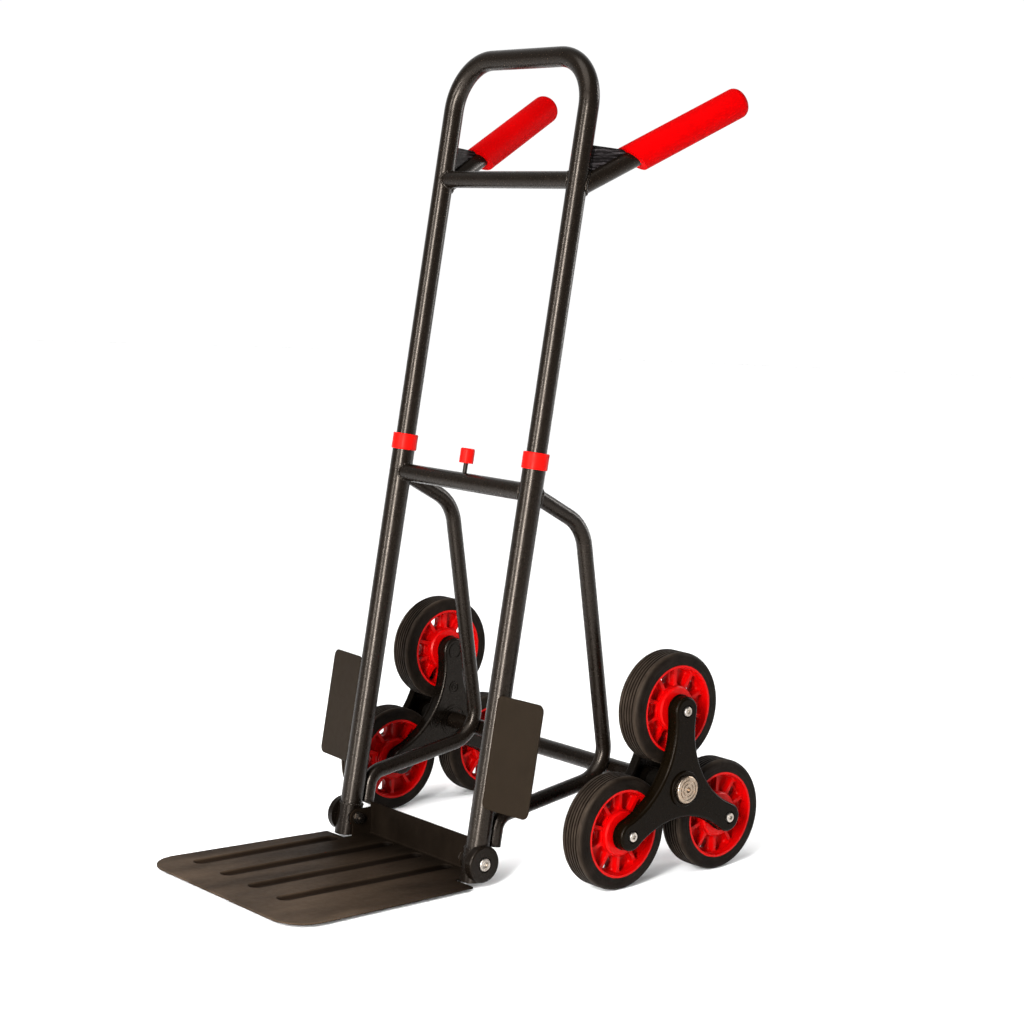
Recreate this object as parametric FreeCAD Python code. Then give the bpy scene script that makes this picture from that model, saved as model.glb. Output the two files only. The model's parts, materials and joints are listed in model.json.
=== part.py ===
import FreeCAD, Part
import math
import os
from FreeCAD import Vector

# Six-wheel stair climbing trolley, in millimetres.
# X runs across the trolley, -Y is the load side, +Z is up and z = 0 is the floor.
# Most of the frame is drawn in the "upright frame": the origin is between the feet of the
# uprights, Z runs up along the uprights, and Y points straight back from them.
# lean() turns a shape from the upright frame to the floor frame.

# ---- whole trolley -------------------------------------------------------------------
RAKE = 8.44             # lean of the uprights, degrees from vertical
FOOT_Z = 12.5           # height of the upright frame's origin above the floor
HALF_SPACING = 143.5    # mid-plane to the axis of an upright
RUNNING = 0.05          # radial clearance of a shaft that turns or slides in a hole
GAP = 0.5               # free space between faces of different moving groups

# ---- tubes: outer radius, wall thickness ----------------------------------------------
UPRIGHT_R = 16.0
UPPER_R = 14.0
CROSSBAR_R = 12.5
UPPER_CROSSBAR_R = 12.0
REAR_R = 11.0
HANDLE_R = 12.5
AXLE_TUBE_R = 12.5
TUBE_WALL = 1.5

# ---- places along the uprights, from their foot -----------------------------------------
UPRIGHT_START = 38.0
UPRIGHT_END = 556.0
COLLAR_HEIGHT = 23.0
COLLAR_R = 18.0
COLLAR_SPIGOT = 18.0    # length of the collar's sleeve inside the upright
LOWER_CROSSBAR_S = 524.2
UPPER_CROSSBAR_S = 948.2
TOP_TUBE_S = 1117.5
TOP_BEND_R = 70.0
UPPER_START = 468.0
GUIDE_LENGTH = 34.0
REAR_TOP_S = 525.0

# ---- knuckle and folding toe plate ------------------------------------------------------
KNUCKLE_R = 25.5        # the round disc outside the upright
KNUCKLE_INNER = 16.5    # from the upright's axis to the end of the inner boss
KNUCKLE_OUTER = 20.5    # from the upright's axis to the outer face of the disc
DISC_START = 9.0        # from the upright's axis to the inner face of the disc
NOSE_R = 18.0           # the round foot that the upright stands in
INNER_BOSS_R = 13.0
KNUCKLE_SPIGOT = 26.0   # length of the fitting inside the upright
NOSE_LOW = 8.0          # height of the flat under the nose
BOLT_R = 4.0
BOLT_HEAD_R = 9.0
SOCKET_R = 4.5
WASHER_R = 8.5
WASHER = 1.5            # thickness
NUT_R = 7.5             # to the nut's corners
NUT = 6.0               # height
HEAD_SEAT = 2.5         # depth of the recess under the bolt head
SHEET = 2.5
RIB_DEPTH = 4.5
PLATE_TOP = RIB_DEPTH + SHEET
PLATE_HALF_WIDTH = 179.0    # at the front; the plate narrows towards the knuckles
PLATE_BACK_HALF_WIDTH = 167.0
PLATE_REACH = 319.0     # feet to the front edge
PLATE_CORNER_R = 46.0
PLATE_BACK = -19.0      # feet to the back edge beside the knuckles
FLANGE_Y = 27.0
FLANGE_HALF_WIDTH = 126.0
FLANGE_TOP = 53.0
BEND_R = 2.5
RIB_XS = (-132.0, -65.0, 2.0, 69.0)
RIB_FRONT = -267.0
RIB_BACK = 22.0
RIB_TOP_WIDTH = 24.0
RIB_FLOOR_WIDTH = 14.0
RIB_END_SLOPE = 4.0     # run of the sloped wall at each end of a rib
EAR_R = 12.5
CHEEK_FRONT = -5.0      # front edge of the ear below its eye
BOLT_Z = PLATE_TOP + GAP + KNUCKLE_R

# ---- rear bent tubes --------------------------------------------------------------------
REAR_SHOULDER = (174.0, 481.0)      # y, z of the corners between straight runs
REAR_HEEL = (239.0, 124.6)
REAR_SHOULDER_R = 60.0
REAR_HEEL_R = 45.0
REAR_RETURN_SLOPE = 9.8             # degrees below horizontal, going forwards
LEG_BEND_R = 24.0
LEG_END_S = 45.0                    # lower end of the short leg behind each upright

# ---- axle and wheel clusters ------------------------------------------------------------
WHEEL_R = 78.0
CLUSTER_R = 107.6
AXLE_Y = 248.0
AXLE_Z = WHEEL_R + CLUSTER_R / 2
AXLE_R = 8.0
INNER_PLATE_X = 213.0
OUTER_PLATE_X = 290.0
STAR_DEPTH = 17.0
STAR_TIP_R = 20.0
STAR_WAIST = 41.0
STAR_EDGE_R = 4.0
STAR_LIP = 1.2          # lip round the open side of the skirt
STAR_LIP_WIDTH = 2.5
HUB_BOSS_R = 18.0
BOLT_BOSS_R = 11.0
SLEEVE_R = 15.0
HUB_COLLAR = (25.0, 19.5)   # outer, inner radius of the ring round the hub cap
CAP_R = 19.0
CAP_HEIGHT = 8.0
RING_HEIGHT = 1.2
HUB_RINGS = ((23.0, 21.0), (18.5, 14.0))    # outer, inner radius of the moulded rings
SMALL_RINGS = ((9.0, 7.2), (4.5, 2.5))
TIP_RING = (12.0, 10.0)
RING_PLACES = ((51.0, 90), (36.0, 180), (36.0, 0))   # radius and angle about the axle
BOLT_END_R = 6.5
HEAD_RECESS = 2.0
BLIND_WALL = 3.0        # closed bottom of the bolt bosses in the inner plate
STAR_WALL = 3.0
STAR_ANGLES = {"top": 90, "front": 210, "rear": 330}
WHEEL_X = (INNER_PLATE_X + OUTER_PLATE_X) / 2
WHEEL_BOLT_R = 5.0
TYRE_HALF_WIDTH = 20.0
TYRE_SHOULDER_R = 6.5
RIM_SEAT_R = 58.5
RIM_LIP_R = 60.5
RIM_LIP = 2.0           # width of each lip, beyond the tyre's bead seat
POCKETS = 10
POCKET_INNER_R = 32.0
POCKET_OUTER_R = 55.5
RIB_WIDTH = 5.0
RIB_SET_BACK = 8.0      # rib faces behind the lip
POCKET_CORNER_R = 4.0
GROOVES = (-10.0, -5.0, 0.0, 5.0, 10.0)
GROOVE_WIDTH = 1.4
GROOVE_DEPTH = 1.6
WEB = 4.0
WINDOW_R = 8.0          # a round window in every second pocket
WINDOW_CIRCLE_R = 43.8

# ---- side plates, handles, latch --------------------------------------------------------
SIDE_PLATE_LOW = 96.0
SIDE_PLATE_HIGH = 250.0
SIDE_PLATE_WIDTH = 82.0
SIDE_PLATE_SWEEP = 8.0
SIDE_PLATE_CORNER_R = 10.0
HANDLE_S = 936.0
HANDLE_LENGTH = 288.0
HANDLE_SPLAY = 14.7
HANDLE_RISE = 35.7
GRIP_START = 96.0
GRIP_R = 21.5
GRIP_END_R = 11.0
GRIP_CUT = 27.0         # slant of the grip's open end, degrees
GUSSET_TOP_S = 997.0
BUTTON_R = 10.0
BUTTON_HEIGHT = 21.0
STEM_R = 3.2
LATCH_TRAVEL = 7.0
STEM_SHOW = 6.5         # stem left in sight when the button is pressed
PIN_R = 4.0

WHEEL_CIRCLE_BACK = AXLE_Y + CLUSTER_R * math.cos(math.radians(30)) + WHEEL_R
ORIGIN_SHIFT = Vector(0, (PLATE_REACH - WHEEL_CIRCLE_BACK) / 2, 0)
X, Y, Z = Vector(1, 0, 0), Vector(0, 1, 0), Vector(0, 0, 1)
SIDES = {"left": -1, "right": 1}


def save(node, shape):
    shape = shape.removeSplitter() if len(shape.Solids) == 1 else shape
    shape.translate(ORIGIN_SHIFT)
    assert shape.isValid(), node
    shape.exportStep("parts/%s.step" % node)


def lean(shape):
    """Upright frame to floor frame."""
    shape.rotate(Vector(0, 0, 0), X, -RAKE)
    shape.translate(Vector(0, 0, FOOT_Z))
    return shape


def lean_point(point):
    turn = FreeCAD.Rotation(X, -RAKE)
    return turn.multVec(point) + Vector(0, 0, FOOT_Z)


def mirrored(shape, side):
    """Shapes are drawn on the right; the left one is the mirror image."""
    return shape.mirror(Vector(0, 0, 0), X) if side < 0 else shape


def rod(start, end, radius):
    axis = end - start
    return Part.makeCylinder(radius, axis.Length, start, axis)


def x_rod(x0, x1, y, z, radius):
    return rod(Vector(x0, y, z), Vector(x1, y, z), radius)


def x_ring(x0, x1, y, z, outer, inner):
    return x_rod(x0, x1, y, z, outer).cut(x_rod(x0, x1, y, z, inner))


def box(x0, x1, y0, y1, z0, z1):
    return Part.makeBox(x1 - x0, y1 - y0, z1 - z0, Vector(x0, y0, z0))


def fuse(shapes):
    shapes = list(shapes)
    return shapes[0].multiFuse(shapes[1:]) if len(shapes) > 1 else shapes[0]


def round_edges(solid, radius, low, high, axis="x", wider_than=0.0):
    """Fillets the circular edges whose centre lies between low and high on the axis."""
    rims = [edge for edge in solid.Edges if isinstance(edge.Curve, Part.Circle)
            and low < getattr(edge.Curve.Center, axis) < high
            and edge.Curve.Radius > wider_than]
    return solid.makeFillet(radius, rims)


def bent_path(points, radii):
    """Wire of straight runs joined by tangent arcs, one radius per inner point."""
    edges = []
    start = points[0]
    for before, corner, after, radius in zip(points, points[1:], points[2:], radii):
        u = (before - corner).normalize()
        v = (after - corner).normalize()
        half = u.getAngle(v) / 2
        reach = radius / math.tan(half)
        bisector = (u + v).normalize()
        middle = corner + bisector * (radius / math.sin(half) - radius)
        arc_in = corner + u * reach
        arc_out = corner + v * reach
        edges.append(Part.LineSegment(start, arc_in).toShape())
        edges.append(Part.Arc(arc_in, middle, arc_out).toShape())
        start = arc_out
    edges.append(Part.LineSegment(start, points[-1]).toShape())
    return Part.Wire(edges)


def swept(points, radii, radius):
    path = bent_path(points, radii)
    ring = Part.Wire(Part.makeCircle(radius, points[0], points[1] - points[0]))
    return path.makePipeShell([ring], True, False)


def bent_tube(points, radii, radius, wall=TUBE_WALL):
    return swept(points, radii, radius).cut(swept(points, radii, radius - wall))


def straight_tube(start, end, radius, wall=TUBE_WALL):
    return rod(start, end, radius).cut(rod(start, end, radius - wall))


def stadium(x, y0, y1, width, z):
    """Long slot outline with round ends, lying flat at height z."""
    r = width / 2
    a, b = Vector(x - r, y0 + r, z), Vector(x - r, y1 - r, z)
    c, d = Vector(x + r, y1 - r, z), Vector(x + r, y0 + r, z)
    return Part.Wire([
        Part.LineSegment(a, b).toShape(),
        Part.Arc(b, Vector(x, y1, z), c).toShape(),
        Part.LineSegment(c, d).toShape(),
        Part.Arc(d, Vector(x, y0, z), a).toShape(),
    ])


# ---- lower frame ------------------------------------------------------------------------
def upright_axis(s, back=0.0, across=HALF_SPACING):
    return Vector(across, back, s)


# the hinge bolt crosses the upright's axis
BOLT_Y = (BOLT_Z - FOOT_Z) * math.tan(math.radians(RAKE))


def latch_hole(radius):
    """Cross hole through the inner wall of an upright, for the latch pin."""
    inner = HALF_SPACING - UPRIGHT_R - 1
    return x_rod(inner, HALF_SPACING - UPRIGHT_R / 2, 0, LOWER_CROSSBAR_S, radius)


def upright():
    tube = straight_tube(upright_axis(UPRIGHT_START), upright_axis(UPRIGHT_END), UPRIGHT_R)
    return lean(tube.cut(latch_hole(PIN_R + RUNNING)))


def collar():
    """Plastic bush in the top of the upright: a ring that shows and a spigot inside."""
    top = UPRIGHT_END + COLLAR_HEIGHT
    ring = rod(upright_axis(UPRIGHT_END), upright_axis(top), COLLAR_R)
    ring = round_edges(ring, 1.5, UPRIGHT_END - 1, top + 1, "z")
    spigot_start = UPRIGHT_END - COLLAR_SPIGOT
    spigot = rod(upright_axis(spigot_start), upright_axis(UPRIGHT_END + 2), UPRIGHT_R - TUBE_WALL)
    bore = rod(upright_axis(spigot_start - 1), upright_axis(top + 1), UPPER_R + RUNNING)
    return lean(ring.fuse(spigot).cut(bore))


def lower_crossbar():
    half = HALF_SPACING - UPRIGHT_R / 2
    start = Vector(-half, 0, LOWER_CROSSBAR_S)
    bar = straight_tube(start, Vector(half, 0, LOWER_CROSSBAR_S), CROSSBAR_R)
    for side in SIDES.values():
        bar = bar.cut(rod(Vector(side * HALF_SPACING, 0, LOWER_CROSSBAR_S - 40),
                          Vector(side * HALF_SPACING, 0, LOWER_CROSSBAR_S + 40), UPRIGHT_R))
    stem_hole = rod(Vector(0, 0, LOWER_CROSSBAR_S),
                    Vector(0, 0, LOWER_CROSSBAR_S + CROSSBAR_R + 1), STEM_R + RUNNING)
    return lean(bar.cut(stem_hole))


def knuckle():
    """Hinge fitting: a spigot in the tube, a round nose below it and a disc outside."""
    spigot = rod(upright_axis(UPRIGHT_START - 4), upright_axis(UPRIGHT_START + KNUCKLE_SPIGOT),
                 UPRIGHT_R - TUBE_WALL)
    nose = rod(upright_axis(-20), upright_axis(UPRIGHT_START), NOSE_R)
    nose = lean(round_edges(nose, 1.2, UPRIGHT_START - 1, UPRIGHT_START + 1, "z"))
    nose = nose.cut(box(0, 2 * HALF_SPACING, -60, 60, -60, NOSE_LOW))
    nose = nose.cut(box(0, HALF_SPACING - KNUCKLE_INNER, -60, 60, -60, 120))
    disc = x_rod(HALF_SPACING + DISC_START, HALF_SPACING + KNUCKLE_OUTER,
                 BOLT_Y, BOLT_Z, KNUCKLE_R)
    disc = round_edges(disc, 3.0, HALF_SPACING + DISC_START + 1, HALF_SPACING + 40)
    boss = x_rod(HALF_SPACING - KNUCKLE_INNER, HALF_SPACING, BOLT_Y, BOLT_Z, INNER_BOSS_R)
    body = fuse([lean(spigot), nose, disc, boss])
    body = body.cut(lean(straight_tube(upright_axis(UPRIGHT_START), upright_axis(UPRIGHT_END),
                                       UPRIGHT_R)))
    seat = x_rod(HALF_SPACING + KNUCKLE_OUTER - HEAD_SEAT, HALF_SPACING + KNUCKLE_OUTER + 1,
                 BOLT_Y, BOLT_Z, BOLT_HEAD_R + 2)
    return body.cut(seat).cut(x_rod(HALF_SPACING - 30, HALF_SPACING + 30, BOLT_Y, BOLT_Z, BOLT_R))


def hinge_fasteners():
    """Per side: a round-headed bolt from outside, a washer and a nut inside the ear."""
    seat_x = HALF_SPACING + KNUCKLE_OUTER - HEAD_SEAT
    ear_inner = HALF_SPACING - KNUCKLE_INNER - 1 - SHEET
    nut_x = ear_inner - GAP
    nut_end = nut_x - WASHER - NUT
    end_x = nut_end - 3
    shank = x_rod(end_x, seat_x, BOLT_Y, BOLT_Z, BOLT_R)
    head = x_rod(seat_x, seat_x + 4, BOLT_Y, BOLT_Z, BOLT_HEAD_R)
    head = round_edges(head, 1.5, seat_x + 1, seat_x + 10)
    socket = x_rod(seat_x + 1.5, seat_x + 5, BOLT_Y, BOLT_Z, SOCKET_R)
    bolt = shank.fuse(head).cut(socket)
    ring = x_ring(nut_x - WASHER, nut_x, BOLT_Y, BOLT_Z, WASHER_R, BOLT_R)
    hexagon = Part.makePolygon([
        Vector(nut_end,
               BOLT_Y + NUT_R * math.cos(math.radians(60 * k)),
               BOLT_Z + NUT_R * math.sin(math.radians(60 * k))) for k in range(7)])
    hex_nut = Part.Face(hexagon).extrude(Vector(NUT, 0, 0))
    hex_nut = hex_nut.cut(x_rod(end_x - 1, nut_x, BOLT_Y, BOLT_Z, BOLT_R))
    return [bolt, ring, hex_nut]


def yz(point, across=HALF_SPACING):
    return Vector(across, point[0], point[1])


def rear_frame_points():
    """Tube centreline: off the upright, down to the heel, forward and down the upright."""
    top = lean_point(upright_axis(REAR_TOP_S))
    slope = math.radians(REAR_RETURN_SLOPE)
    leg_back = UPRIGHT_R + REAR_R
    leg_end = lean_point(upright_axis(LEG_END_S, leg_back))
    leg_up = (lean_point(upright_axis(LEG_END_S + 1, leg_back)) - leg_end).normalize()
    heel = yz(REAR_HEEL)
    forward = Vector(0, -math.cos(slope), -math.sin(slope))
    # the return run meets the leg's line where both have the same y and z
    det = forward.y * leg_up.z - forward.z * leg_up.y
    offset = leg_end - heel
    run = (offset.y * leg_up.z - offset.z * leg_up.y) / det
    leg_top = heel + forward * run
    return [top, yz(REAR_SHOULDER), heel, leg_top, leg_end]


REAR_RADII = (REAR_SHOULDER_R, REAR_HEEL_R, LEG_BEND_R)


def rear_frame():
    tube = bent_tube(rear_frame_points(), REAR_RADII, REAR_R)
    tube = tube.cut(lean(rod(upright_axis(0), upright_axis(UPRIGHT_END + 60), UPRIGHT_R)))
    tube = tube.cut(lean(rod(Vector(0, 0, LOWER_CROSSBAR_S),
                             Vector(HALF_SPACING, 0, LOWER_CROSSBAR_S), CROSSBAR_R)))
    tube = tube.cut(x_rod(0, INNER_PLATE_X, AXLE_Y, AXLE_Z, AXLE_TUBE_R))
    pieces = sorted(tube.Solids, key=lambda solid: -solid.Volume)
    return pieces[0]


def leg_plug():
    """Cap in the open lower end of the leg."""
    points = rear_frame_points()
    end = points[-1]
    up = (points[-2] - end).normalize()
    return rod(end - up * 3, end, REAR_R).fuse(rod(end, end + up * 10, REAR_R - TUBE_WALL))


def axle_tube():
    end = INNER_PLATE_X - RING_HEIGHT - GAP
    return straight_tube(Vector(-end, AXLE_Y, AXLE_Z), Vector(end, AXLE_Y, AXLE_Z),
                         AXLE_TUBE_R, 2.0)


def axle_bush():
    end = INNER_PLATE_X - RING_HEIGHT - GAP
    return x_ring(end - 22, end, AXLE_Y, AXLE_Z, AXLE_TUBE_R - 2.0, AXLE_R)


AXLE_END = OUTER_PLATE_X + 4


def hub_cap():
    """Turned steel cap pressed on the axle end, with concentric rings on its face."""
    base = OUTER_PLATE_X + GAP
    face = base + CAP_HEIGHT
    cap = round_edges(x_rod(base, face, AXLE_Y, AXLE_Z, CAP_R), 2.0, base + 1, face + 1)
    for ring_r in (14.5, 9.5):
        cap = cap.cut(x_ring(face - 0.8, face + 1, AXLE_Y, AXLE_Z, ring_r, ring_r - 1.5))
    cap = cap.cut(x_rod(face - 2.5, face + 1, AXLE_Y, AXLE_Z, 4.0))
    return cap.cut(x_rod(base - 1, AXLE_END, AXLE_Y, AXLE_Z, AXLE_R))


def side_plate():
    """Thin wing welded to the outer front of an upright, swept back a little."""
    low, high, r = SIDE_PLATE_LOW, SIDE_PLATE_HIGH, SIDE_PLATE_CORNER_R
    slab = Part.makeBox(SIDE_PLATE_WIDTH, SHEET, high - low, Vector(0, 0, low))
    corners = [edge for edge in slab.Edges if abs(edge.Length - SHEET) < 1e-6]
    slab = slab.makeFillet(r, corners)
    faces = [edge for edge in slab.Edges if edge.BoundBox.YLength < 1e-6]
    slab = slab.makeChamfer(0.5, faces)
    slab.rotate(Vector(0, 0, 0), Z, SIDE_PLATE_SWEEP)
    slab.translate(Vector(HALF_SPACING + 9.0, -12.5, 0))
    upright_core = rod(upright_axis(0), upright_axis(UPRIGHT_END), UPRIGHT_R)
    return lean(slab.cut(upright_core))


# ---- latch in the lower crossbar ----------------------------------------------------------
BUTTON_LOW_S = LOWER_CROSSBAR_S + CROSSBAR_R + LATCH_TRAVEL + STEM_SHOW
WEDGE_TIP = 3.0
WEDGE_HEIGHT = 7.0
WEDGE_HALF_WIDTH = 3.0


def latch_button():
    top = BUTTON_LOW_S + BUTTON_HEIGHT
    button = rod(Vector(0, 0, BUTTON_LOW_S), Vector(0, 0, top), BUTTON_R)
    button = round_edges(button, 2.5, top - 1, top + 1, "z")
    button = round_edges(button, 1.0, BUTTON_LOW_S - 1, BUTTON_LOW_S + 1, "z")
    socket = rod(Vector(0, 0, BUTTON_LOW_S - 1), Vector(0, 0, BUTTON_LOW_S + 12), STEM_R)
    return lean(button.cut(socket))


def latch_stem():
    """Stem with a wedge at its foot, which drives the two pins outwards."""
    foot = LOWER_CROSSBAR_S + WEDGE_TIP
    top = foot + WEDGE_HEIGHT
    stem = rod(Vector(0, 0, top - 2), Vector(0, 0, BUTTON_LOW_S + 12), STEM_R)
    profile = Part.makePolygon([
        Vector(0, -WEDGE_HALF_WIDTH, foot), Vector(WEDGE_HEIGHT, -WEDGE_HALF_WIDTH, top),
        Vector(-WEDGE_HEIGHT, -WEDGE_HALF_WIDTH, top), Vector(0, -WEDGE_HALF_WIDTH, foot)])
    wedge = Part.Face(profile).extrude(Vector(0, 2 * WEDGE_HALF_WIDTH, 0))
    return lean(stem.fuse(wedge))


PIN_END = HALF_SPACING - UPRIGHT_R + 0.9


def latch_pin():
    """Drawn back at rest: its end lies in the upright's wall, clear of the upper tube."""
    pin = x_rod(1.0, PIN_END, 0, LOWER_CROSSBAR_S, PIN_R)
    reach = 12.0
    tip = LOWER_CROSSBAR_S + WEDGE_TIP - GAP
    cutter = Part.Face(Part.makePolygon([
        Vector(0, -reach, tip), Vector(reach, -reach, tip + reach),
        Vector(0, -reach, tip + reach), Vector(0, -reach, tip)])).extrude(Vector(0, 2 * reach, 0))
    return lean(pin.cut(cutter))


def latch_guide():
    x0 = HALF_SPACING - UPRIGHT_R - 16
    return lean(x_ring(x0, x0 + 12, 0, LOWER_CROSSBAR_S, CROSSBAR_R - TUBE_WALL, PIN_R + RUNNING))


# ---- sliding upper frame --------------------------------------------------------------------
def upper_frame():
    points = [Vector(-HALF_SPACING, 0, UPPER_START), Vector(-HALF_SPACING, 0, TOP_TUBE_S),
              Vector(HALF_SPACING, 0, TOP_TUBE_S), Vector(HALF_SPACING, 0, UPPER_START)]
    frame = bent_tube(points, (TOP_BEND_R, TOP_BEND_R), UPPER_R)
    pin_path = x_rod(-HALF_SPACING, HALF_SPACING, 0, LOWER_CROSSBAR_S, PIN_R + 0.5)
    return lean(frame.cut(pin_path))


def upper_crossbar():
    half = HALF_SPACING - UPPER_R / 2
    bar = straight_tube(Vector(-half, 0, UPPER_CROSSBAR_S), Vector(half, 0, UPPER_CROSSBAR_S),
                        UPPER_CROSSBAR_R)
    for side in SIDES.values():
        bar = bar.cut(rod(Vector(side * HALF_SPACING, 0, UPPER_CROSSBAR_S - 40),
                          Vector(side * HALF_SPACING, 0, UPPER_CROSSBAR_S + 40), UPPER_R))
    return lean(bar)


def guide_bush():
    """Plastic sleeve on the foot of the upper tube, sliding in the upright."""
    low = UPPER_START - 4
    outer = rod(upright_axis(low), upright_axis(UPPER_START), UPRIGHT_R - TUBE_WALL - RUNNING)
    plug = rod(upright_axis(UPPER_START), upright_axis(UPPER_START + GUIDE_LENGTH),
               UPPER_R - TUBE_WALL)
    return lean(outer.fuse(plug))


def handle_direction():
    splay, rise = math.radians(HANDLE_SPLAY), math.radians(HANDLE_RISE)
    return Vector(math.sin(splay) * math.cos(rise), math.cos(splay) * math.cos(rise),
                  math.sin(rise))


def handle_point(distance):
    return Vector(HALF_SPACING, 0, HANDLE_S) + handle_direction() * distance


def upper_core():
    return rod(upright_axis(HANDLE_S - 80), upright_axis(HANDLE_S + 120), UPPER_R)


def handle_tube():
    tube = straight_tube(handle_point(0), handle_point(HANDLE_LENGTH - 5), HANDLE_R)
    crossbar = rod(Vector(0, 0, UPPER_CROSSBAR_S), Vector(HALF_SPACING, 0, UPPER_CROSSBAR_S),
                   UPPER_CROSSBAR_R)
    tube = tube.cut(upper_core()).cut(crossbar)
    pieces = sorted(tube.Solids, key=lambda solid: -solid.Volume)
    return lean(pieces[0])


def gusset():
    """Web that fills the corner between the upper tube and the handle tube."""
    top = Vector(HALF_SPACING, 0, GUSSET_TOP_S)
    foot = handle_point(0)
    tip = handle_point(GRIP_START - 4) + Vector(0, 0, HANDLE_R)
    face = Part.Face(Part.makePolygon([foot, tip, top, foot]))
    normal = (tip - foot).cross(top - foot).normalize()
    web = face.extrude(normal * 4.0)
    web.translate(normal * -2.0)
    tube = rod(handle_point(0), handle_point(HANDLE_LENGTH), HANDLE_R)
    web = web.cut(upper_core()).cut(tube)
    sleeve = rod(handle_point(GRIP_START - 40), handle_point(HANDLE_LENGTH), GRIP_R + GAP)
    pieces = sorted(web.cut(sleeve.cut(grip_cut())).Solids, key=lambda solid: -solid.Volume)
    return lean(pieces[0])


def grip_cut():
    """Half space in front of the grip's slanted open end: the grip is longer on top."""
    block = Part.makeBox(160, 160, 80, Vector(-80, -80, -80))
    side = handle_direction().cross(Z).normalize()
    slanted = FreeCAD.Rotation(side, GRIP_CUT).multVec(handle_direction())
    block.Placement = FreeCAD.Placement(handle_point(GRIP_START), FreeCAD.Rotation(Z, slanted))
    return block


def grip():
    body = rod(handle_point(GRIP_START - 30), handle_point(HANDLE_LENGTH), GRIP_R)
    far = [edge for edge in body.Edges if isinstance(edge.Curve, Part.Circle)
           and edge.Curve.Center.distanceToPoint(handle_point(HANDLE_LENGTH)) < 1]
    body = body.makeFillet(GRIP_END_R, far)
    bore = rod(handle_point(GRIP_START - 40), handle_point(HANDLE_LENGTH - 5), HANDLE_R)
    return lean(body.cut(bore).cut(grip_cut()))


# ---- toe plate ------------------------------------------------------------------------------
def toe_plate():
    """One pressed sheet: floor with sunk ribs, back flange and a hinge ear at each end."""
    outline = [Vector(-PLATE_HALF_WIDTH, -PLATE_REACH, RIB_DEPTH),
               Vector(PLATE_HALF_WIDTH, -PLATE_REACH, RIB_DEPTH),
               Vector(PLATE_BACK_HALF_WIDTH, PLATE_BACK, RIB_DEPTH),
               Vector(-PLATE_BACK_HALF_WIDTH, PLATE_BACK, RIB_DEPTH)]
    floor = Part.Face(Part.makePolygon(outline + outline[:1])).extrude(Vector(0, 0, SHEET))
    front = [edge for edge in floor.Edges
             if abs(edge.Length - SHEET) < 1e-6 and edge.BoundBox.YMax < 1 - PLATE_REACH]
    floor = floor.makeFillet(PLATE_CORNER_R, front)
    back_strip = box(-FLANGE_HALF_WIDTH, FLANGE_HALF_WIDTH, PLATE_BACK - 1, FLANGE_Y + SHEET,
                     RIB_DEPTH, PLATE_TOP)
    bend = box(-FLANGE_HALF_WIDTH, FLANGE_HALF_WIDTH, FLANGE_Y - BEND_R, FLANGE_Y + 1,
               PLATE_TOP - 1, PLATE_TOP + BEND_R)
    bend = bend.cut(x_rod(-FLANGE_HALF_WIDTH, FLANGE_HALF_WIDTH, FLANGE_Y - BEND_R,
                          PLATE_TOP + BEND_R, BEND_R))
    flange = box(-FLANGE_HALF_WIDTH, FLANGE_HALF_WIDTH, FLANGE_Y, FLANGE_Y + SHEET,
                 RIB_DEPTH, FLANGE_TOP)
    plate = fuse([floor, back_strip, flange, bend])
    ear_x = FLANGE_HALF_WIDTH
    for side in SIDES.values():
        x0, x1 = sorted((side * (ear_x - SHEET), side * ear_x))
        cheek = box(x0, x1, CHEEK_FRONT, FLANGE_Y + 1, PLATE_TOP - 1, BOLT_Z)
        brow = box(x0, x1, BOLT_Y, FLANGE_Y + 1, BOLT_Z - 1, BOLT_Z + EAR_R)
        eye = x_rod(x0, x1, BOLT_Y, BOLT_Z, EAR_R)
        plate = plate.fuse(fuse([cheek, brow, eye]))
    plate = plate.cut(x_rod(-PLATE_HALF_WIDTH, PLATE_HALF_WIDTH, BOLT_Y, BOLT_Z, BOLT_R + RUNNING))
    for x in RIB_XS:
        beside_ears = abs(x) + RIB_TOP_WIDTH / 2 > FLANGE_HALF_WIDTH - SHEET
        back = PLATE_BACK - 6.0 if beside_ears else RIB_BACK
        wall = SHEET * 0.8
        floor_front = RIB_FRONT + RIB_END_SLOPE
        floor_back = back - RIB_END_SLOPE
        under = Part.makeLoft([
            stadium(x, RIB_FRONT - wall, back + wall, RIB_TOP_WIDTH + 2 * wall, RIB_DEPTH + 0.2),
            stadium(x, floor_front - wall, floor_back + wall, RIB_FLOOR_WIDTH + 2 * wall, 0),
        ], True, True)
        over = Part.makeLoft([
            stadium(x, RIB_FRONT, back, RIB_TOP_WIDTH, PLATE_TOP + 0.01),
            stadium(x, floor_front, floor_back, RIB_FLOOR_WIDTH, SHEET),
        ], True, True)
        plate = plate.fuse(under).cut(over)
    return plate


# ---- wheel clusters ---------------------------------------------------------------------------
def polar(radius, degrees, x=0.0):
    turn = math.radians(degrees)
    return Vector(x, AXLE_Y + radius * math.cos(turn), AXLE_Z + radius * math.sin(turn))


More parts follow.
